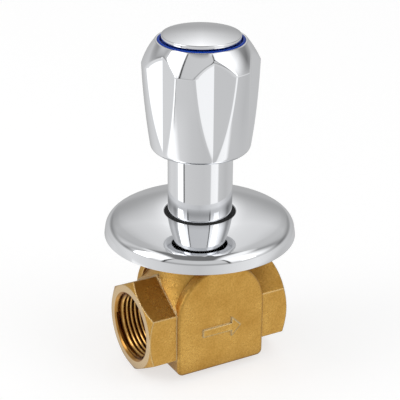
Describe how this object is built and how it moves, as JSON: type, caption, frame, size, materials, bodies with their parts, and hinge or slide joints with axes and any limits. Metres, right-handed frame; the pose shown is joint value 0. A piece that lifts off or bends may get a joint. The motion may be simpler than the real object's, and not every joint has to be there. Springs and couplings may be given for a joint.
{
  "type": "concealed stop valve",
  "caption": "Concealed stop valve: brass body with two threaded ports, sliding wall flange, sleeve and fluted turning handle.",
  "frame": {"origin": "on the spindle axis, level with the lowest edges of the port hexagons", "axes": "+Z along the spindle towards the handle, +X along the flow from inlet to outlet, -Y the front pad"},
  "size_m": [0.075, 0.075, 0.1361],
  "materials": {
    "forged_brass": "matte forged",
    "turned_brass": "machined",
    "chrome_plate": "bright plated",
    "blue_plastic": "gloss",
    "black_rubber": "matte",
    "gasket_fibre": "matte",
    "steel": "satin"
  },
  "bodies": {
    "valve": {"valve_body": "forged_brass", "bonnet": "turned_brass", "bonnet_gasket": "gasket_fibre", "thrust_washer": "turned_brass", "sleeve": "chrome_plate", "sleeve_o_ring": "black_rubber"},
    "handle_assembly": {"handle": "chrome_plate", "spline_bush": "turned_brass", "handle_screw": "steel", "spring_washer": "steel", "index_ring": "blue_plastic", "cap": "chrome_plate", "spindle": "turned_brass", "circlip": "steel", "lower_spindle_o_ring": "black_rubber", "upper_spindle_o_ring": "black_rubber"},
    "plunger_assembly": {"plunger": "turned_brass", "seat_washer": "black_rubber", "washer_plate": "turned_brass", "washer_screw": "steel"},
    "wall_flange": {"flange": "chrome_plate", "flange_grip_ring": "black_rubber"}
  },
  "joints": [
    {"name": "handle_turn", "type": "hinge", "parent": "valve", "child": "handle_assembly", "pos_m": [0, 0, 0.09], "axis": [0, 0, 1], "range_deg": [0, 1080]},
    {"name": "plunger_lift", "type": "slide", "parent": "valve", "child": "plunger_assembly", "axis": [0, 0, 1], "range_m": [0, 0.006]},
    {"name": "flange_slide", "type": "slide", "parent": "valve", "child": "wall_flange", "axis": [0, 0, 1], "range_m": [-0.0035, 0.022]}
  ],
  "couplings": [
    {"joint": "plunger_lift", "follows": "handle_turn", "m_per_rad": 0.0003183}
  ]
}
